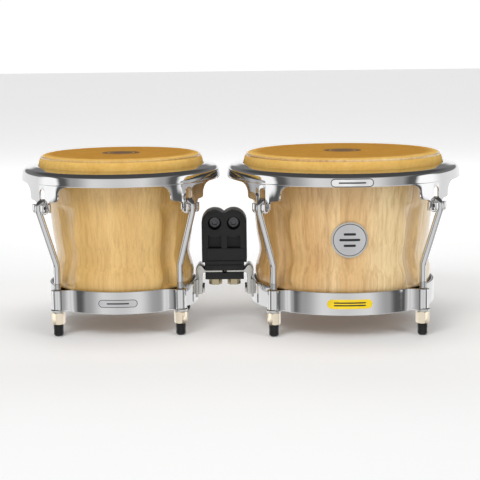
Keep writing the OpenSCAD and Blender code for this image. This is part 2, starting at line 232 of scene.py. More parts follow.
def makeWood(drum):
    looks = woodLooks[drum]
    place = drums[drum]
    material, tree, shader = newMaterial(drum + "ShellWood")
    center = (-place["x"], -place["y"], 0)
    local = objectCoords(tree, (1, 1, 1), center)
    parts = node(tree, "ShaderNodeSeparateXYZ")
    tree.links.new(local, parts.inputs[0])
    angle = math2(tree, "ARCTAN2", parts.outputs["Y"], parts.outputs["X"])
    stave = math2(tree, "MULTIPLY", angle, looks["staves"] / (2 * math.pi))
    staveId = math2(tree, "FLOOR", stave)
    random = node(tree, "ShaderNodeTexWhiteNoise", noise_dimensions="1D")
    tree.links.new(staveId, random.inputs["W"])
    grainPlace = objectCoords(tree, (1, 1, 0.03), center)
    shifted = node(tree, "ShaderNodeVectorMath", operation="ADD")
    tree.links.new(grainPlace, shifted.inputs[0])
    tree.links.new(random.outputs["Color"], shifted.inputs[1])
    vector = shifted.outputs[0]
    broad = noise(tree, vector, 30, 2, 0.5, 0.4)
    lines = noise(tree, vector, looks["grain"], 3, 0.6, 0.3)
    fine = noise(tree, vector, 900, 4, 0.6)
    flecks = noise(tree, objectCoords(tree, (1, 1, 0.12), center), 1150, 2, 0.5)
    colour = ramp(tree, broad, [(0.34, looks["honey"]), (0.60, looks["pale"])])
    streaks = ramp(tree, noise(tree, vector, 16, 3, 0.55, 1.0), [(0.56, (0, 0, 0)), (0.76, (1, 1, 1))])
    colour = mix(tree, math2(tree, "MULTIPLY", streaks, looks["streakShare"]), colour, looks["streak"])
    colour = stain(tree, colour, looks["grainShare"], lines, [(0.34, (0.68, 0.58, 0.45)), (0.54, (1, 1, 1))])
    colour = stain(tree, colour, 0.35, fine, [(0.3, (0.72, 0.65, 0.55)), (0.6, (1, 1, 1))])
    colour = stain(tree, colour, 0.7, random.outputs["Value"], [(0.0, (0.91, 0.87, 0.81)), (1.0, (1, 1, 1))])
    colour = stain(tree, colour, 0.3, flecks, [(0.28, (0.55, 0.42, 0.28)), (0.36, (1, 1, 1))])
    # the shell's colour turns browner towards its −X side, by a share set for each drum
    side = node(tree, "ShaderNodeMapRange")
    side.inputs["From Min"].default_value = 35 * mm
    side.inputs["From Max"].default_value = -55 * mm
    side.inputs["To Max"].default_value = looks["brownShare"]
    tree.links.new(parts.outputs["X"], side.inputs["Value"])
    colour = mix(tree, side.outputs["Result"], colour, mix(tree, 1.0, colour, looks["brown"], "MULTIPLY"))
    tree.links.new(colour, shader.inputs["Base Color"])
    tree.links.new(ramp(tree, fine, [(0.2, (0.34,) * 3), (0.8, (0.46,) * 3)]), shader.inputs["Roughness"])
    shader.inputs["Coat Weight"].default_value = 0.9
    shader.inputs["Coat Roughness"].default_value = 0.05
    addBump(tree, shader, lines, 0.05, 0.0003)
    return material

skinLooks = {"top": (0.40, 0.185, 0.026), "topLight": (0.54, 0.275, 0.050), "collar": (0.64, 0.345, 0.065),
             "collarLight": (0.90, 0.62, 0.21), "printR": 21 * mm}

def makeSkinMaterial(drum):
    place = drums[drum]
    material, tree, shader = newMaterial(drum + "Rawhide")
    local = objectCoords(tree, (1, 1, 1), (-place["x"], -place["y"], -place["skinTop"]))
    parts = node(tree, "ShaderNodeSeparateXYZ")
    tree.links.new(local, parts.inputs[0])
    flat = node(tree, "ShaderNodeCombineXYZ")
    tree.links.new(parts.outputs["X"], flat.inputs["X"])
    tree.links.new(parts.outputs["Y"], flat.inputs["Y"])
    length = node(tree, "ShaderNodeVectorMath", operation="LENGTH")
    tree.links.new(flat.outputs[0], length.inputs[0])
    radius = length.outputs["Value"]
    cloud = noise(tree, local, 55, 6, 0.6, 0.4)
    veins = noise(tree, local, 260, 4, 0.6)
    top = mix(tree, cloud, skinLooks["top"], skinLooks["topLight"])
    side = mix(tree, cloud, skinLooks["collar"], skinLooks["collarLight"])
    share = math2(tree, "DIVIDE", radius, place["skinR"])
    colour = mix(tree, ramp(tree, share, [(0.82, (0, 0, 0)), (0.99, (1, 1, 1))], "EASE"), top, side)
    colour = stain(tree, colour, 0.35, veins, [(0.3, (0.78, 0.70, 0.60)), (0.6, (1, 1, 1))])
    # a plain printed disc with a thin ring, in the middle of the head
    disc = math2(tree, "LESS_THAN", radius, skinLooks["printR"])
    ringOuter = math2(tree, "LESS_THAN", radius, skinLooks["printR"] * 0.72)
    ringInner = math2(tree, "LESS_THAN", radius, skinLooks["printR"] * 0.64)
    ring = math2(tree, "SUBTRACT", ringOuter, ringInner)
    printed = math2(tree, "MULTIPLY", math2(tree, "SUBTRACT", disc, ring), 0.78)
    colour = mix(tree, printed, colour, (0.055, 0.055, 0.06))
    tree.links.new(colour, shader.inputs["Base Color"])
    shader.inputs["Roughness"].default_value = 0.8
    shader.inputs["Specular IOR Level"].default_value = 0.02
    shader.inputs["Subsurface Weight"].default_value = 0.12
    shader.inputs["Subsurface Radius"].default_value = (0.004, 0.002, 0.001)
    addBump(tree, shader, mix(tree, 0.5, cloud, veins), 0.18, 0.0006)
    return material

def makeMetal(name, colour, roughness, spread=0.04, grain=300, bump=0.02, stretch=(1, 1, 1)):
    material, tree, shader = newMaterial(name)
    shader.inputs["Metallic"].default_value = 1.0
    vector = objectCoords(tree, stretch)
    haze = noise(tree, vector, grain, 4, 0.6)
    cloud = noise(tree, vector, grain / 12, 3, 0.5)
    dark = tuple(0.86 * c for c in colour)
    tree.links.new(mix(tree, cloud, dark, colour), shader.inputs["Base Color"])
    low, high = max(roughness - spread, 0.02), roughness + spread
    tree.links.new(ramp(tree, haze, [(0.3, (low,) * 3), (0.7, (high,) * 3)]), shader.inputs["Roughness"])
    addBump(tree, shader, haze, bump, 0.0003)
    return material

def makePlastic(name, colour, roughness, grain, bump):
    material, tree, shader = newMaterial(name)
    vector = objectCoords(tree)
    speckle = noise(tree, vector, grain, 3, 0.6)
    cloud = noise(tree, vector, 45, 3, 0.5)
    tree.links.new(mix(tree, cloud, tuple(0.7 * c for c in colour), tuple(1.3 * c for c in colour)),
                   shader.inputs["Base Color"])
    tree.links.new(ramp(tree, speckle, [(0.3, (roughness - 0.06,) * 3), (0.7, (roughness + 0.08,) * 3)]),
                   shader.inputs["Roughness"])
    shader.inputs["Specular IOR Level"].default_value = 0.35
    addBump(tree, shader, speckle, bump, 0.0003)
    return material

finishes = {
    "chrome": makeMetal("mirrorChrome", (0.70, 0.70, 0.705), 0.06, 0.03, 240, 0.008),
    "zinc": makeMetal("yellowZinc", (0.50, 0.43, 0.29), 0.28, 0.07, 300, 0.04),
    "steel": makeMetal("satinSteel", (0.62, 0.61, 0.58), 0.32, 0.08, 500, 0.06, (1, 1, 6)),
    "nickel": makeMetal("warmNickel", (0.86, 0.76, 0.60), 0.2, 0.06, 260, 0.03),
    "rubber": makePlastic("footRubber", (0.006, 0.006, 0.006), 0.38, 900, 0.08),
    "plastic": makePlastic("blockPlastic", (0.009, 0.009, 0.0095), 0.42, 1400, 0.12),
    "darkSteel": makeMetal("blackenedSteel", (0.10, 0.10, 0.105), 0.3, 0.06, 500, 0.04),
    "macho_wood": makeWood("macho"),
    "hembra_wood": makeWood("hembra"),
    "machoSkin": makeSkinMaterial("macho"),
    "hembraSkin": makeSkinMaterial("hembra"),
}
print("materials made")

def dress(piece, material):
    piece.data.materials.clear()
    piece.data.materials.append(material)

slotOf = {part["node"]: part["material_slot"] for part in frame["record"]["subparts"]}
finishOf = {"block_screws": "darkSteel", "macho_swivel_bolt": "zinc", "hembra_swivel_bolt": "zinc"}
for name, piece in frame["nodes"].items():
    slotName = slotOf[name]
    if slotName == "skin":
        slotName = name.split("_")[0] + "Skin"
    dress(piece, finishes[finishOf.get(name, slotName)])

# pieces carried over from the frame, with worked edges
edgeWork = {
    "arm_pad": 0.3, "arm_screws": 0.5, "block_front": 1.1, "block_back_plate": 0.5,
    "block_screws": 0.4, "clamp_plate": 1.2, "swivel_bolt": 0.6, "swivel_nuts": 0.4,
}

def bodyOf(name):
    return next(body for body, members in frame["record"]["behaviour"]["bodies"].items() if name in members)

def workEdges(name):
    kind = max((k for k in edgeWork if name.endswith(k)), key=len, default=None)
    if kind is None:
        return
    source = frame["nodes"][name]
    piece = bpy.data.objects.new(name + "_worked", source.data.copy())
    bpy.context.scene.collection.objects.link(piece)
    pick(piece)
    bpy.ops.object.mode_set(mode="EDIT")
    bpy.ops.mesh.select_all(action="SELECT")
    bpy.ops.mesh.remove_doubles(threshold=0.00002)
    bpy.ops.mesh.dissolve_limited(angle_limit=math.radians(2))
    bpy.ops.object.mode_set(mode="OBJECT")
    bevel = piece.modifiers.new("edges", "BEVEL")
    bevel.width = edgeWork[kind] * mm
    bevel.segments = 3
    bevel.limit_method = "ANGLE"
    bevel.angle_limit = math.radians(40)
    applyModifiers(piece)
    settle(piece, 40)
    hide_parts(name)
    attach(piece, bodyOf(name))

for name in sorted(frame["nodes"]):
    workEdges(name)
print("edges worked")

# shells with a groove behind every rod
shellShape = {"low": 31 * mm, "high": 191 * mm, "wall": 12 * mm, "grooveHalf": 10.5 * mm,
              "grooveDepth": 4.2 * mm, "grooveLow": 52 * mm, "grooveHigh": 140 * mm,
              "footRamp": 9 * mm, "headRamp": 20 * mm}

def shellRadius(drum, share):
    # outline of the turned shell, share running from 0 at the foot to 1 at the bearing edge
    size = drums[drum]["lugR"] / mm - 4.7
    r = size - 11.9 * (1 - share ** 1.5) - 3 * math.sin(math.pi * share)
    r += 3.4 * math.exp(-((share - 0.2) / 0.1) ** 2) - 3 * math.exp(-((share - 0.31) / 0.1) ** 2)
    return min(r, size) * mm

def grooveCut(away, z):
    # how deep the groove is at a distance sideways from its middle line
    low, high = shellShape["grooveLow"], shellShape["grooveHigh"]
    if z <= low or z >= high:
        return 0.0
    foot = min((z - low) / shellShape["footRamp"], 1)
    head = min((high - z) / shellShape["headRamp"], 1)
    fade = math.sqrt(1 - (1 - foot) ** 2) * math.sqrt(1 - (1 - head) ** 2)
    half = shellShape["grooveHalf"] * (1 + 0.45 * (1 - foot) ** 2 + 0.6 * (1 - head) ** 2)
    return shellShape["grooveDepth"] * fade * max(0, 1 - (away / half) ** 2)

def makeShell(drum):
    place = drums[drum]
    low, high, wall = shellShape["low"], shellShape["high"], shellShape["wall"]
    rows = 64
    outer = [(shellRadius(drum, i / rows), low + (high - low) * i / rows) for i in range(rows + 1)]
    edge = outer[-1][0]
    crown = [(edge, high - 0.6 * mm), (edge - 1.2 * mm, high + 0.35 * mm), (edge - 3.5 * mm, high + 0.3 * mm),
             (edge - 6 * mm, high - 1.2 * mm)]
    inner = [(shellRadius(drum, i / 16) - wall, low + (high - low) * i / 16) for i in range(15, -1, -1)]
    piece = turned(drum + "Shell", outer[:-1] + crown + inner, (place["x"], place["y"]), 600, closed=True)
    for vertex in piece.data.vertices:
        x, y = vertex.co.x - place["x"], vertex.co.y - place["y"]
        radius = math.hypot(x, y)
        share = (vertex.co.z - low) / (high - low)
        if not 0 < share < 1 or radius < shellRadius(drum, share) - 1 * mm:
            continue
        away = abs(math.degrees(math.atan2(y, x)) % 90 - 45)
        shrink = 1 - grooveCut(math.radians(away) * radius, vertex.co.z) / radius
        vertex.co.x = place["x"] + x * shrink
        vertex.co.y = place["y"] + y * shrink
    dress(piece, finishes[drum + "_wood"])
    settle(piece, 50)
    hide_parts(drum + "_shell")
    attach(piece, drum + "_drum")

for drum in drums:
    makeShell(drum)
print("shells made")

# skins
skinShape = {"edgeRound": 9 * mm, "thick": 1.6 * mm}

def makeSkin(drum):
    place = drums[drum]
    top, outer = place["skinTop"], place["skinR"]
    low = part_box(drum + "_skin")[0].z
    roundR = skinShape["edgeRound"]
    crest = place["rimTop"]
    profile = [(0, top)] + [(outer * k, top) for k in (0.25, 0.5, 0.7, 0.82)]
    profile += arc(outer - roundR, top - roundR, roundR, 90, 8, 10)
    profile += [(outer + 0.2 * mm, crest + 3 * mm), (outer + 0.5 * mm, crest),
                (outer + 0.7 * mm, crest - 4 * mm), (outer + 0.2 * mm, low), (outer - 1.5 * mm, low),
                (outer - 1.5 * mm, crest),
                (outer - 2.2 * mm, top - roundR), (outer - 8 * mm, top - skinShape["thick"]),
                (0, top - skinShape["thick"])]
    piece = turned(drum + "Skin", profile, (place["x"], place["y"]), 180)
    dress(piece, finishes[drum + "Skin"])
    settle(piece, 60)
    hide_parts(drum + "_skin")
    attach(piece, drum + "_drum")

for drum in drums:
    makeSkin(drum)
print("skins made")

# rims
rimShape = {"sheet": 2.4 * mm, "inset": 0.15 * mm, "skirt": 26 * mm, "hookDrop": 50 * mm, "tabWidth": 46 * mm,
            "fillet": 12 * mm, "crown": 10.2 * mm, "tongue": 20 * mm, "slotWidth": 8.8 * mm, "web": 2.1 * mm,
            "lipR": 4.2 * mm, "lipWidth": 4.0 * mm}

def prism(name, outline, near, far):
    # an outline of (sideways, height) pushed out along +X from near to far
    return pushed(name, [(near, y, z) for y, z in outline], (far - near, 0, 0))

def cut(piece, tool, operation):
    boolean = piece.modifiers.new("cut", "BOOLEAN")
    boolean.operation = operation
    boolean.object = tool
    boolean.solver = "EXACT"
    applyModifiers(piece)
    bpy.data.objects.remove(tool)

def roundEdges(piece, width, segments=3, angle=35):
    bevel = piece.modifiers.new("rounding", "BEVEL")
    bevel.width = width
    bevel.segments = segments
    bevel.limit_method = "ANGLE"
    bevel.angle_limit = math.radians(angle)
    applyModifiers(piece)

def join(pieces, name):
    deselectAll()
    for piece in pieces:
        piece.select_set(True)
    bpy.context.view_layer.objects.active = pieces[0]
    bpy.ops.object.join()
    pieces[0].name = name
    return pieces[0]

def tabOutline(skirt, hook):
    # half of the outline runs from the rim's skirt over a shoulder to the tongue, then it is mirrored
    half, tongue, fillet = rimShape["tabWidth"] / 2, rimShape["tongue"] / 2, rimShape["fillet"]
    shoulder = hook + 7.8 * mm
    right = [(half + fillet, skirt + 1 * mm), (half + fillet, skirt - 0.05 * mm)]
    right += arc(half + fillet, skirt - fillet, fillet, 90, 180, 10)[1:]
    right += arc(half - 3 * mm, shoulder + 3 * mm, 3 * mm, 0, -68, 5)
    right += [(half - 6 * mm, shoulder - 0.4 * mm)]
    right += arc(half - 6 * mm, shoulder - 9.4 * mm, 9 * mm, 96, 142, 6)
    right += [(tongue, hook - 2 * mm)]
    return right + [(-y, z) for y, z in reversed(right)]

def makeTab(drum, index, skirtZ, hookZ):
    place = drums[drum]
    rimR, sheet = place["rimR"], rimShape["sheet"]
    outer, inner = rimR - rimShape["inset"], rimR - sheet + rimShape["inset"]
    span = math.radians(44)
    wall = tubeWall("tab", outer, inner, hookZ - 3 * mm, skirtZ + 2 * mm, -span / 2, span, 44)
    cut(wall, prism("tabCutter", tabOutline(skirtZ, hookZ), inner - 20 * mm, outer + 5 * mm), "INTERSECT")
    half = rimShape["slotWidth"] / 2
    web = hookZ + rimShape["web"]
    slot = [(half, web)] + arc(0, skirtZ - 8 * mm, half, 0, 180, 12) + [(-half, web)]
    cut(wall, prism("slotCutter", slot, inner - 20 * mm, outer + 5 * mm), "DIFFERENCE")
    # a curled lip on each side of the slot carries the rod's hook
    lipR, base = rimShape["lipR"], inner + 0.45 * mm
    section = arc(base + lipR, hookZ - 1.8 * mm, lipR, 180, 360, 14)
    section += [(base + 2 * lipR, hookZ + 4.6 * mm), (base + 2 * lipR - sheet, hookZ + 4.6 * mm)]
    section += arc(base + lipR, hookZ - 1.8 * mm, lipR - sheet, 360, 180, 14)
    section += [(base + sheet, hookZ), (base + 0.3 * mm, hookZ)]
    parts = [wall]
    for side in (-1, 1):
        start = side * (half + 2.5 * mm) - rimShape["lipWidth"] / 2
        parts.append(pushed("lip", [(x, start, z) for x, z in section], (0, rimShape["lipWidth"], 0)))
    for part in parts:
        roundEdges(part, 0.55 * mm, 3, 45)
    tab = join(parts, "tab")
    tab.rotation_euler.z = lugAngle(index)
    tab.location = (place["x"], place["y"], 0)
    pick(tab)
    bpy.ops.object.transform_apply(location=True, rotation=True, scale=True)
    return tab

def makeRim(drum):
    place = drums[drum]
    top, rimR = place["rimTop"], place["rimR"]
    inR = place["skinR"] + 1.0 * mm
    skirtZ = top + rimShape["crown"] - rimShape["skirt"]
    hookZ = top + rimShape["crown"] - rimShape["hookDrop"]
    outline = [(inR, top - 5 * mm)] + arc(inR + 1.3 * mm, top - 1.3 * mm, 1.3 * mm, 180, 80, 6)
    outline += [(inR + 5 * mm, top - 0.5 * mm), (rimR - 8.5 * mm, top - 1.8 * mm)]
    outline += arc(rimR - 7.2 * mm, top - 8.2 * mm, 6.3 * mm, 75, 8, 10)
    outline += [(rimR - 0.5 * mm, top - 10 * mm), (rimR, skirtZ + 2.2 * mm)]
    outline += arc(rimR - 1.2 * mm, skirtZ + 1.2 * mm, 1.2 * mm, 0, -180, 8)
    outline += [(rimR - 3.1 * mm, top - 10 * mm)]
    outline += arc(rimR - 7.2 * mm, top - 8.2 * mm, 3.9 * mm, 8, 75, 6)
    outline += [(inR + 4 * mm, top - 3 * mm), (inR + 2 * mm, top - 3 * mm), (inR + 2 * mm, top - 5 * mm)]
    ring = turned(drum + "RimRing", outline, (place["x"], place["y"]), 224, closed=True)
    tabs = [makeTab(drum, index, skirtZ, hookZ) for index in range(4)]
    rim = join([ring] + tabs, drum + "Rim")
    dress(rim, finishes["chrome"])
    settle(rim, 38)
    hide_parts(drum + "_rim")
    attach(rim, drum + "_tension")

for drum in drums:
    makeRim(drum)
print("rims made")

# rods
rodShape = {"shank": 3.6 * mm, "thread": 3.95 * mm, "pitch": 1.25 * mm, "threadTop": 59 * mm,
            "hook": 6.15 * mm, "bend": 16 * mm, "lean": 19.5, "tip": 5.5 * mm, "foot": 4 * mm}

def rodPath(drum):
    # the shank's centre line in the plane of the lug, from the thread up and over the hook
    place = drums[drum]
    bend, hook, lean = rodShape["bend"], rodShape["hook"], math.radians(rodShape["lean"])
    hookZ = place["rimTop"] + rimShape["crown"] - rimShape["hookDrop"]
    topR = place["rimR"] - rimShape["sheet"] / 2 + hook
    side, rise = bend * (1 - math.cos(lean)), bend * math.sin(lean)
    run = topR - place["lugR"] - 2 * side
    lowZ = hookZ - 2 * rise - run / math.tan(lean)
    path = [(place["lugR"], rodShape["threadTop"] - 1 * mm)]
    path += arc(place["lugR"] + bend, lowZ, bend, 180, 180 - rodShape["lean"], 8)
    path += arc(topR - bend, hookZ, bend, -rodShape["lean"], 0, 8)
    path += arc(topR - hook, hookZ, hook, 0, 180, 20)[1:]
    path += [(topR - 2 * hook, hookZ - rodShape["tip"])]
    return path

def makeRod(drum, number):
    place = drums[drum]
    shank = chain("shank", [(r, 0, z) for r, z in rodPath(drum)])
    bpy.ops.object.mode_set(mode="OBJECT")
    bpy.ops.object.convert(target="CURVE")
    shank = bpy.context.object
    shank.data.bevel_depth = rodShape["shank"]
    shank.data.bevel_resolution = 7
    shank.data.use_fill_caps = True
    bpy.ops.object.convert(target="MESH")
    shank = bpy.context.object
    # the tip's rim is broken
    roundEdges(shank, 0.7 * mm, 3, 50)
    # one turn of the rolled thread, wound up the rod
    root = rodShape["thread"] - 0.62 * mm
    pitch = rodShape["pitch"]
    turn = chain("thread", [(root, 0, 0), (root, 0, 0.12 * pitch), (rodShape["thread"], 0, 0.46 * pitch),
                            (rodShape["thread"], 0, 0.58 * pitch), (root, 0, 0.92 * pitch), (root, 0, pitch)])
    bpy.ops.object.mode_set(mode="OBJECT")
    wound = turn.modifiers.new("winding", "SCREW")
    wound.steps = 20
    wound.render_steps = 20
    wound.screw_offset = pitch
    wound.iterations = 43
    wound.use_merge_vertices = True
    wound.merge_threshold = 0.00001
    applyModifiers(turn)
    turn.location = (place["lugR"], 0, rodShape["foot"])
    # a plain core closes the thread at both ends
    core = turned("core", [(0, rodShape["foot"] + 0.3 * mm), (root - 0.5 * mm, rodShape["foot"] + 0.3 * mm),
                           (root + 0.05 * mm, rodShape["foot"] + 1 * mm), (root + 0.05 * mm, 57 * mm),
                           (rodShape["shank"], 58.4 * mm), (rodShape["shank"], 59.6 * mm),
                           (root, 60 * mm), (0, 60 * mm)], (place["lugR"], 0), 24)
    rod = join([shank, turn, core], drum + "Rod" + str(number))
    pick(rod)
    bpy.ops.object.transform_apply(location=True, rotation=True, scale=True)
    rod.rotation_euler.z = math.radians(90 * number - 45)
    rod.location = (place["x"], place["y"], 0)
    dress(rod, finishes["chrome"])
    settle(rod, 40)
    name = drum + "_rod_" + str(number)
    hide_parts(name)
    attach(rod, bodyOf(name))

for drum in drums:
    for number in range(1, 5):
        makeRod(drum, number)
print("rods made")

# bottom hoops with their folded ears
hoopShape = {"sheet": 2.6 * mm, "earNose": 7 * mm, "earRoot": 10.6 * mm, "fillet": 21 * mm, "lift": 2.6 * mm,
             "flare": 1.5 * mm, "lugIn": 10.7 * mm}

def hoopPlan(drum):
    # outer plan of the band, drawn round once with an ear at every lug
    hoopR = drums[drum]["lugR"] - hoopShape["lugIn"]
    lugR = drums[drum]["lugR"]
    nose, root = hoopShape["earNose"], hoopShape["earRoot"]
    half = hoopShape["fillet"]
    start = math.asin(half / hoopR)
    side = []
    foot = Vector((half, math.sqrt(hoopR ** 2 - half ** 2)))
    corner = Vector((root + 1.2 * mm, hoopR - 0.6 * mm))
    wall = Vector((root - 0.7 * mm, hoopR + 3.2 * mm))
    for i in range(9):
        t = i / 8
        side.append(foot * (1 - t) ** 2 + corner * 2 * t * (1 - t) + wall * t ** 2)
    for i in range(13):
        around = math.radians(90 - i * 7.5)
        side.append(Vector((nose * math.sin(around), lugR + nose * math.cos(around))))
    plan = []
    for index in range(4):
        middle = lugAngle(index)
        across = Vector((-math.sin(middle), math.cos(middle)))
        out = Vector((math.cos(middle), math.sin(middle)))
        plan += [across * -p.x + out * p.y for p in side]
        plan += [across * p.x + out * p.y for p in reversed(side[:-1])]
        free = math.pi / 2 - 2 * start
        steps = 22
        for i in range(1, steps):
            angle = middle + start + free * i / steps
            plan.append(Vector((math.cos(angle), math.sin(angle))) * hoopR)
    return plan

def makeHoop(drum):
    place = drums[drum]
    low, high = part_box(drum + "_bottom_hoop")
    hoopR = place["lugR"] - hoopShape["lugIn"]
    plan = hoopPlan(drum)
    points = [(place["x"] + p.x, place["y"] + p.y, low.z) for p in plan]
    band = chain(drum + "Hoop", points + points[:1])
    bpy.ops.mesh.select_all(action="SELECT")
    bpy.ops.mesh.remove_doubles(threshold=0.00001)
    for step in (1.4 * mm, 1.4 * mm, 6 * mm, 6 * mm, 6 * mm, high.z - low.z - 20.8 * mm):
        bpy.ops.mesh.extrude_region_move(TRANSFORM_OT_translate={"value": (0, 0, step)})
    bpy.ops.mesh.select_all(action="SELECT")
    bpy.ops.mesh.normals_make_consistent(inside=False)
    bpy.ops.object.mode_set(mode="OBJECT")
    # the ears sit a little higher than the band and end in a small turned-out lip
    for vertex in band.data.vertices:
        flat = Vector((vertex.co.x - place["x"], vertex.co.y - place["y"]))
        share = min(max((flat.length - hoopR - 1 * mm) / (3 * mm), 0), 1)
        height = (vertex.co.z - low.z) / (high.z - low.z)
        vertex.co.z += hoopShape["lift"] * share * max(0, 1 - 2 * height)
        if vertex.co.z < low.z + 3.2 * mm and share > 0:
            push = flat.normalized() * hoopShape["flare"] * share * (1 if height < 0.03 else 0.35)
            vertex.co.x += push.x
            vertex.co.y += push.y
    sheet = band.modifiers.new("sheet", "SOLIDIFY")
    sheet.thickness = hoopShape["sheet"]
    sheet.offset = -1
    sheet.use_even_offset = True
    applyModifiers(band)
    roundEdges(band, 0.5 * mm, 3, 55)
    parts = [band]
    # the flange turned in under the drum, and a floor in each ear with the rod's hole
    inner = hoopR - hoopShape["sheet"] + 0.1 * mm
    foot, reach = low.z + 0.2 * mm, inner - 8 * mm
    flange = [(inner, foot), (inner, low.z + 2.4 * mm), (reach, low.z + 2.4 * mm),
              (reach - 0.6 * mm, low.z + 1.3 * mm), (reach, foot)]
    parts.append(turned("flange", flange, (place["x"], place["y"]), 160, closed=True))
    floorZ = low.z + hoopShape["lift"] + 0.1 * mm
    earFloor = [(4.4 * mm, floorZ), (6.6 * mm, floorZ),
                (6.6 * mm, floorZ + 2.2 * mm), (4.4 * mm, floorZ + 2.2 * mm)]
    for index in range(4):
        parts.append(turned("earFloor", earFloor, lugPlace(place, index), 40, closed=True))
    hoop = join(parts, drum + "Hoop")
    dress(hoop, finishes["chrome"])
    settle(hoop, 45)
    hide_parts(drum + "_bottom_hoop")
    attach(hoop, drum + "_drum")

for drum in drums:
    makeHoop(drum)
print("hoops made")

# nuts, washers and feet, one of each modelled and set at every lug
lugShape = {"flats": 13 * mm, "bore": 4.0 * mm, "boreMouth": 4.6 * mm, "foot": 5.3 * mm,
            "nutGap": 0.06 * mm}

def copyTo(source, name, x, y, turn=0.0):
    twin = source.copy()
    twin.data = source.data.copy()
    twin.name = name
    bpy.context.scene.collection.objects.link(twin)
    twin.location = (x, y, 0)
    twin.rotation_euler.z = turn
    pick(twin)
    bpy.ops.object.transform_apply(location=True, rotation=True, scale=True)
    return twin

def makeNutModel(low, high):
    deselectAll()
    bpy.ops.mesh.primitive_cylinder_add(vertices=6, radius=lugShape["flats"] / math.sqrt(3), depth=high - low,
                                        location=(0, 0, (low + high) / 2))
    nut = bpy.context.object
    nut.name = "nutModel"
    bpy.ops.object.transform_apply(location=True, rotation=True, scale=True)
    outer = lugShape["flats"] / math.sqrt(3) + 0.05 * mm
    flat = lugShape["flats"] / 2 - 0.25 * mm
    slope = (outer - flat) * 0.58
    crown = turned("crown", [(0, low), (flat, low), (outer, low + slope), (outer, high - slope), (flat, high),
                             (0, high)], (0, 0), 64)
    cut(nut, crown, "INTERSECT")
    bore, mouth = lugShape["bore"], lugShape["boreMouth"]
    profile = [(0, low - 1 * mm), (mouth, low - 1 * mm), (mouth, low + 0.1 * mm), (bore, low + 0.8 * mm),
               (bore, high - 0.8 * mm), (mouth, high - 0.1 * mm), (mouth, high + 1 * mm), (0, high + 1 * mm)]
    cut(nut, turned("bore", profile, (0, 0), 40), "DIFFERENCE")
    roundEdges(nut, 0.3 * mm, 2, 40)
    return nut

def placeRepeated():
    nutLow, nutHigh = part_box("macho_nut_1")
    # the nut stays just clear of its washer, so that it can turn
    nutModel = makeNutModel(nutLow.z + lugShape["nutGap"], nutHigh.z - lugShape["nutGap"])
    washLow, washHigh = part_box("macho_washers")
    profile = [(4.4 * mm, washLow.z), (washerR - 0.4 * mm, washLow.z)]
    profile += arc(washerR - 0.6 * mm, washLow.z + 0.6 * mm, 0.6 * mm, -60, 0, 4)
    profile += [(washerR - 0.1 * mm, washHigh.z - 0.5 * mm), (washerR - 0.7 * mm, washHigh.z),
                (4.4 * mm, washHigh.z)]
    washerModel = turned("washerModel", profile, (0, 0), 64, closed=True)
    wide, footTop = lugShape["foot"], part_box("macho_feet")[1].z - 0.2 * mm
    profile = [(0, 0)] + arc(wide - 3 * mm, 3 * mm, 3 * mm, -90, 0, 10)
    profile += [(wide - 0.15 * mm, footTop * 0.62), (wide + 0.1 * mm, footTop * 0.66),
                (wide + 0.1 * mm, footTop - 0.5 * mm), (wide - 0.4 * mm, footTop), (3.9 * mm, footTop),
                (3.9 * mm, footTop - 3 * mm), (0, footTop - 3 * mm)]
    footModel = turned("footModel", profile, (0, 0), 64)
    for drum, place in drums.items():
        washers, feet = [], []
        for index in range(4):
            x, y = lugPlace(place, index)
            name = drum + "_nut_" + str(index + 1)
            nut = copyTo(nutModel, drum + "Nut" + str(index + 1), x, y, lugAngle(index))
            dress(nut, finishes["nickel"])
            settle(nut, 32)
            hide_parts(name)
            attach(nut, bodyOf(name))
            washers.append(copyTo(washerModel, "washer", x, y))
            feet.append(copyTo(footModel, "foot", x, y))
        for pieces, name in ((washers, drum + "_washers"), (feet, drum + "_feet")):
            piece = join(pieces, name + "Made")
            dress(piece, finishes[slotOf[name]])
            settle(piece, 40)
            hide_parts(name)
            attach(piece, bodyOf(name))
    for model in (nutModel, washerModel, footModel):
        bpy.data.objects.remove(model)

placeRepeated()
print("lugs dressed")

# arms bent from flat steel strip
armShape = {"leg": 4.8 * mm, "tongue": 2.8 * mm, "peak": 66.8 * mm, "foot": 33.5 * mm, "gap": 0.9 * mm,
            "bolt": 10.4 * mm, "hole": 4.05 * mm, "notch": 8}

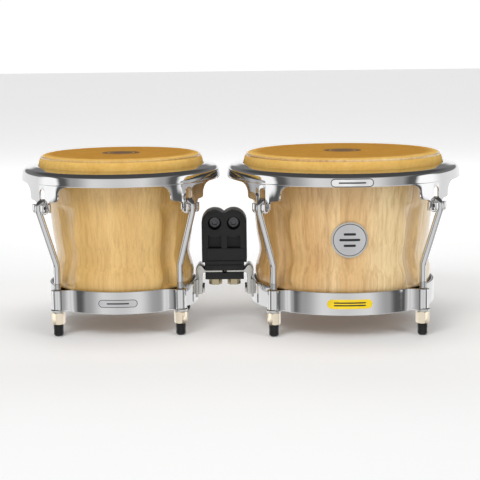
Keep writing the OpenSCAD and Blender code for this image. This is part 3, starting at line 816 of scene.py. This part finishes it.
def makeArm(drum, side):
    low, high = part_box(drum + "_arm")
    place = drums[drum]
    face = place["lugR"] - hoopShape["lugIn"]
    reach = abs(blockX + side * armShape["bolt"] - (place["x"] - side * face))
    leg, under = armShape["leg"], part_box("clamp_plate")[1].z + 0.1 * mm
    top = under + armShape["tongue"]
    gap, peak, foot = armShape["gap"], armShape["peak"], armShape["foot"]
    end = reach + armShape["bolt"] - 0.4 * mm
    outline = [(gap, foot), (gap + leg, foot), (gap + leg, under - 1.2 * mm), (gap + leg + 1.2 * mm, under),
               (end, under), (end, top), (gap + 9.4 * mm, top), (gap + 7 * mm, top + 1.4 * mm),
               (gap + 5.4 * mm, peak - 2.2 * mm), (gap + 4 * mm, peak - 0.5 * mm), (gap + 2.4 * mm, peak),
               (gap + 0.7 * mm, peak - 0.5 * mm), (gap - 0.6 * mm, peak - 2.2 * mm),
               (gap - 2.6 * mm, peak - 6 * mm), (gap - 2.2 * mm, foot + 22 * mm), (gap, foot + 19 * mm)]
    wide = (high.y - low.y) / 2
    arm = pushed(drum + "Arm", [(x, -wide, z) for x, z in outline], (0, 2 * wide, 0))
    hole = armShape["hole"]
    bolt = [(0, under - 2 * mm), (hole, under - 2 * mm), (hole, top + 2 * mm), (0, top + 2 * mm)]
    cut(arm, turned("boltHole", bolt, (reach, 0), 48), "DIFFERENCE")
    # the two tongues meet in a shallow notch so that both drums can swing
    for turn in (-armShape["notch"], armShape["notch"]):
        deselectAll()
        bpy.ops.mesh.primitive_cube_add(size=1, location=(end + 5 * mm, 0, top))
        bpy.ops.transform.resize(value=(10 * mm, 4 * wide, 12 * mm))
        wedge = bpy.context.object
        pick(wedge)
        bpy.ops.object.transform_apply(location=True, rotation=True, scale=True)
        bpy.ops.object.mode_set(mode="EDIT")
        bpy.ops.mesh.select_all(action="SELECT")
        bpy.ops.transform.rotate(value=math.radians(turn), orient_axis="Z", center_override=(end, 0, 0))
        bpy.ops.object.mode_set(mode="OBJECT")
        cut(arm, wedge, "DIFFERENCE")
    roundEdges(arm, 0.7 * mm, 3, 50)
    if side > 0:
        arm.scale.x = -1
    arm.location = (place["x"] - side * face, 0, 0)
    dress(arm, finishes["steel"])
    settle(arm, 45)
    pick(arm)
    bpy.ops.object.mode_set(mode="EDIT")
    bpy.ops.mesh.select_all(action="SELECT")
    bpy.ops.mesh.normals_make_consistent(inside=False)
    bpy.ops.object.mode_set(mode="OBJECT")
    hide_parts(drum + "_arm")
    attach(arm, drum + "_drum")

makeArm("macho", -1)
makeArm("hembra", 1)
print("arms made")

# a rounded rib across the foot of the centre block, and a thin line over and under its plain panel
blockTrim = {"ribLow": 63.6 * mm, "ribHigh": 67.4 * mm, "ribReach": 21.2 * mm, "ribOut": 0.9 * mm,
             "lineOut": 0.3 * mm, "panel": (-20.6 * mm, 23.4 * mm, 71.0 * mm, 86.0 * mm), "line": 0.7 * mm}

def bar(name, left, right, low, high, front, out):
    # a low rounded bar standing out of the block's front face
    section = [(front + 0.6 * mm, low), (front, low + 0.05 * mm), (front - out * 0.7, low + out * 0.35),
               (front - out, low + out), (front - out, high - out), (front - out * 0.7, high - out * 0.35),
               (front, high - 0.05 * mm), (front + 0.6 * mm, high)]
    piece = prism(name, section, left, right)
    roundEdges(piece, 0.25 * mm, 2, 50)
    return piece

def trimBlock():
    front = blockLow.y
    reach = blockTrim["ribReach"]
    left, right, low, high = blockTrim["panel"]
    left, right, line = blockX + left, blockX + right, blockTrim["line"]
    bars = [bar("rib", blockX - reach, blockX + reach, blockTrim["ribLow"], blockTrim["ribHigh"], front,
                blockTrim["ribOut"]),
            bar("panelTop", left, right, high - line, high, front, blockTrim["lineOut"]),
            bar("panelFoot", left, right, low, low + line, front, blockTrim["lineOut"])]
    trim = join(bars, "blockTrim")
    dress(trim, finishes["plastic"])
    settle(trim, 40)
    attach(trim, "block")

trimBlock()
print("block trimmed")

# badge and labels, all with plain generic patterns
def curvedPlate(name, outer, inner, outline, shift=(0, 0, 0), lean=0.0):
    # a piece of tube cut to an outline of (sideways, height), facing the front
    heights = [z for _, z in outline]
    reach = max(abs(x) for x, _ in outline)
    span = 2 * math.asin(min((reach + 3 * mm) / inner, 0.95))
    low, high = min(heights) - 1 * mm, max(heights) + 1 * mm
    wall = tubeWall(name, outer, inner, low, high, span / 2, -span, 60)
    cut(wall, prism(name + "Cutter", outline, inner - 10 * mm, outer + 5 * mm), "INTERSECT")
    wall.rotation_euler.z = -math.pi / 2
    pick(wall)
    bpy.ops.object.transform_apply(rotation=True)
    wall.rotation_euler.x = lean
    wall.location = shift
    pick(wall)
    bpy.ops.object.transform_apply(location=True, rotation=True)
    return wall

def circle(cx, cz, radius, count=48):
    return arc(cx, cz, radius, 0, 360, count)[:-1]

def pill(cx, cz, halfWide, halfHigh, count=10):
    # a bar with rounded ends
    right = arc(cx + halfWide - halfHigh, cz, halfHigh, -90, 90, count)
    left = arc(cx - halfWide + halfHigh, cz, halfHigh, 90, 270, count)
    return right + left

inks = {
    "black": makePlastic("labelBlack", (0.012, 0.012, 0.013), 0.4, 700, 0.03),
    "silver": makeMetal("labelSilver", (0.60, 0.60, 0.61), 0.16, 0.05, 400, 0.02),
    "yellow": makePlastic("labelYellow", (0.86, 0.62, 0.015), 0.35, 700, 0.03),
    "white": makePlastic("labelWhite", (0.72, 0.72, 0.72), 0.35, 700, 0.03),
}

badgeShape = {"face": 96.7 * mm, "thick": 1.4 * mm, "radius": 19.3 * mm, "lean": 7.0, "z": 106.5 * mm,
              "forward": 0.9 * mm, "ring": 17.6 * mm, "field": 16.9 * mm, "barStep": 6.2 * mm,
              "barHigh": 1.3 * mm}

def makeBadge():
    place = drums["hembra"]
    lean = math.radians(badgeShape["lean"])
    face, thick = badgeShape["face"], badgeShape["thick"]
    shift = (place["x"], -badgeShape["forward"], badgeShape["z"] + face * math.sin(lean))
    plate = curvedPlate("badgePlate", face + thick, face, circle(0, 0, badgeShape["radius"], 72), shift, lean)
    roundEdges(plate, 0.45 * mm, 3, 50)
    dress(plate, finishes["steel"])
    inner = face + thick
    step, barHigh = badgeShape["barStep"], badgeShape["barHigh"]
    art = [("black", circle(0, 0, badgeShape["ring"], 64)), ("silver", circle(0, 0, badgeShape["field"], 64)),
           ("black", pill(0, step, 6.5 * mm, barHigh)), ("black", pill(0, 0, 11 * mm, barHigh)),
           ("black", pill(0, -step, 6.5 * mm, barHigh))]
    sheets = [plate]
    for level, (ink, outline) in enumerate(art):
        lift = 0.03 * mm * (min(level, 2) + 1)
        sheet = curvedPlate("badgeArt" + str(level), inner + lift, inner - 0.3 * mm, outline, shift, lean)
        dress(sheet, inks[ink])
        sheets.append(sheet)
    badge = join(sheets, "hembraBadge")
    settle(badge, 30)
    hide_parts("hembra_badge")
    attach(badge, "hembra_drum")

labelShape = {
    "machoHoop": {"drum": "macho", "body": "macho_drum", "z": 37.9 * mm, "depth": 0.5 * mm,
                  "layers": [("black", 0, 21 * mm, 4.2 * mm), ("silver", 0, 20.4 * mm, 3.6 * mm),
                             ("black", 0, 12 * mm, 0.7 * mm)]},
    "hembraHoop": {"drum": "hembra", "body": "hembra_drum", "z": 38.4 * mm, "depth": 0.5 * mm,
                   "layers": [("yellow", 0, 24 * mm, 5.0 * mm), ("black", 1.4 * mm, 17 * mm, 0.7 * mm),
                              ("black", -1.4 * mm, 17 * mm, 0.7 * mm)]},
    "hembraRim": {"drum": "hembra", "body": "hembra_tension", "z": 169.8 * mm, "depth": 1.4 * mm,
                  "layers": [("black", 0, 22 * mm, 4.3 * mm), ("white", 0, 21.2 * mm, 3.5 * mm),
                             ("black", 0, 14 * mm, 0.7 * mm)]},
}
layerRise = 0.05 * mm

def makeLabel(name):
    # plain strips with round ends laid one over another, the first at the bottom
    label = labelShape[name]
    place = drums[label["drum"]]
    radius = place["rimR"] if name.endswith("Rim") else place["lugR"] - hoopShape["lugIn"]
    sheets = []
    for level, (ink, up, halfWide, halfHigh) in enumerate(label["layers"]):
        outline = pill(0, label["z"] + up, halfWide, halfHigh)
        outer, inner = radius + layerRise * (level + 1), radius - label["depth"]
        sheet = curvedPlate(name + "Label" + str(level), outer, inner, outline, (place["x"], place["y"], 0))
        dress(sheet, inks[ink])
        sheets.append(sheet)
    plate = join(sheets, name + "Label")
    settle(plate, 30)
    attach(plate, label["body"])

makeBadge()
for name in labelShape:
    makeLabel(name)
print("badge and labels made")

# camera, floor and light
view = {"focal": 1300, "frame": 480, "pitch": 8.745, "roll": -0.65, "x": -1.45 * mm, "distance": 1444 * mm,
        "height": 314.8 * mm}

def makeCamera():
    data = bpy.data.cameras.new("camera")
    camera = bpy.data.objects.new("camera", data)
    bpy.context.scene.collection.objects.link(camera)
    data.sensor_width = 36
    data.lens = 36 * view["focal"] / view["frame"]
    data.clip_end = 20
    pitch, roll = math.radians(view["pitch"]), math.radians(view["roll"])
    ahead = Vector((0, math.cos(pitch), -math.sin(pitch)))
    right = Vector((1, 0, 0))
    up = right.cross(ahead)
    right, up = math.cos(roll) * right + math.sin(roll) * up, math.cos(roll) * up - math.sin(roll) * right
    turn = Matrix((right, up, -ahead)).transposed()
    camera.matrix_world = Matrix.Translation((view["x"], -view["distance"], view["height"])) @ turn.to_4x4()
    bpy.context.scene.camera = camera

floorLooks = {"near": 0.92, "glowFrom": -0.2, "glowTo": 1.6, "glow": 0.62}

def makeFloor():
    deselectAll()
    bpy.ops.mesh.primitive_plane_add(size=24, location=(0, 0, 0))
    floor = bpy.context.object
    floor.name = "floor"
    material, tree, shader = newMaterial("paleFloor")
    local = objectCoords(tree)
    tint = noise(tree, local, 3, 2, 0.5)
    near = floorLooks["near"]
    tree.links.new(mix(tree, tint, (near,) * 3, (near + 0.02,) * 3), shader.inputs["Base Color"])
    shader.inputs["Roughness"].default_value = 0.85
    shader.inputs["Specular IOR Level"].default_value = 0.06
    # the far side is lit from beneath, like a light table running up into the wall
    parts = node(tree, "ShaderNodeSeparateXYZ")
    tree.links.new(local, parts.inputs[0])
    reach = node(tree, "ShaderNodeMapRange")
    reach.inputs["From Min"].default_value = floorLooks["glowFrom"]
    reach.inputs["From Max"].default_value = floorLooks["glowTo"]
    reach.inputs["To Max"].default_value = floorLooks["glow"]
    tree.links.new(parts.outputs["Y"], reach.inputs["Value"])
    shader.inputs["Emission Color"].default_value = (1, 1, 1, 1)
    tree.links.new(reach.outputs["Result"], shader.inputs["Emission Strength"])
    dress(floor, material)
    # polished parts mirror the studio walls, not the floor
    floor.visible_glossy = False

lamps = {
    "keyBox": {"at": (-0.7, -1.5, 1.5), "size": (1.0, 0.8), "power": 18},
    "fillBox": {"at": (1.1, -1.2, 1.0), "size": (0.6, 0.9), "power": 6},
    "topBox": {"at": (0.0, -0.1, 1.9), "size": (1.6, 1.2), "power": 15},
    "backBox": {"at": (0.1, 1.3, 1.3), "size": (1.7, 0.6), "power": 5},
}
lampAim = Vector((0, 0, 0.1))
studioTone = {"front": 0.86, "flag": 0.13, "side": 1.45, "back": 1.04, "soffit": 0.22, "zenith": 0.09}

def makeLights():
    for name, lamp in lamps.items():
        data = bpy.data.lights.new(name, "AREA")
        data.shape = "RECTANGLE"
        data.size, data.size_y = lamp["size"]
        data.energy = lamp["power"]
        made = bpy.data.objects.new(name, data)
        bpy.context.scene.collection.objects.link(made)
        made.location = lamp["at"]
        aim = lampAim - Vector(lamp["at"])
        made.rotation_euler = aim.to_track_quat("-Z", "Y").to_euler()
        # chrome mirrors the studio's tones, not the lamps
        made.visible_glossy = False

def makeWorld():
    # a studio in soft tones: grey in front, white walls at the sides and behind, a dark ceiling
    world = bpy.data.worlds.new("studio")
    world.use_nodes = True
    bpy.context.scene.world = world
    tree = world.node_tree
    around = node(tree, "ShaderNodeTexCoord")
    parts = node(tree, "ShaderNodeSeparateXYZ")
    tree.links.new(around.outputs["Generated"], parts.inputs[0])
    sideways = math2(tree, "ABSOLUTE", parts.outputs["X"])
    front, flag, side = studioTone["front"], studioTone["flag"], studioTone["side"]
    # a black flag stands between the grey front and each bright side wall
    levels = [(0.0, front), (0.45, front * 1.15), (0.80, front * 0.55),
              (0.895, flag), (0.93, flag), (0.965, side)]
    tone = ramp(tree, sideways, [(place, (level,) * 3) for place, level in levels], "EASE")
    behind = ramp(tree, parts.outputs["Y"], [(0.02, (0, 0, 0)), (0.32, (1, 1, 1))], "EASE")
    # the wall behind ends in a grey soffit, which darkens the upward faces at the rims' ends
    back, soffit = (studioTone["back"],) * 3, (studioTone["soffit"],) * 3
    wall = ramp(tree, parts.outputs["Z"], [(0.11, back), (0.20, soffit)], "EASE")
    tone = mix(tree, behind, tone, wall)
    above = ramp(tree, parts.outputs["Z"], [(0.34, (0, 0, 0)), (0.62, (1, 1, 1))], "EASE")
    tone = mix(tree, above, tone, (studioTone["zenith"],) * 3)
    tree.links.new(tone, tree.nodes["Background"].inputs["Color"])
    bpy.context.scene.view_settings.view_transform = "Standard"

makeCamera()
makeFloor()
makeLights()
makeWorld()
print("studio made")
